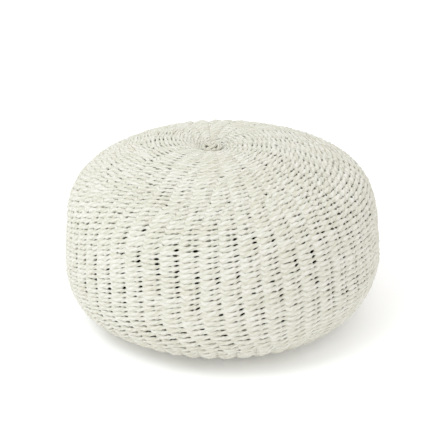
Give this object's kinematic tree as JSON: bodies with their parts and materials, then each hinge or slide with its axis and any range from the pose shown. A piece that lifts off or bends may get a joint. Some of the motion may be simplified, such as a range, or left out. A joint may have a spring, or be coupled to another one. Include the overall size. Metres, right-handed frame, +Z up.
{
  "type": "knitted plastic pouf",
  "caption": "Round low floor pouf knitted in thick cream plastic cord, with ribs from pole to pole, gathered and knotted at the top, flat where it rests.",
  "frame": {"origin": "centre of the body's outline in plan, on the surface that the pouf rests on", "axes": "+Z up through the gathered top, +X to the right and +Y to the back as the picture sees it; the body is as wide along X as along Y, and lowest along Z"},
  "size_m": [0.503, 0.498, 0.2859],
  "materials": {
    "cream_cord": "satin, knitted from round twisted plastic cord",
    "knot_cord": "satin, round twisted plastic cord"
  },
  "bodies": {
    "root": {"knitted_body": "cream_cord", "closing_knot": "knot_cord"}
  },
  "joints": []
}
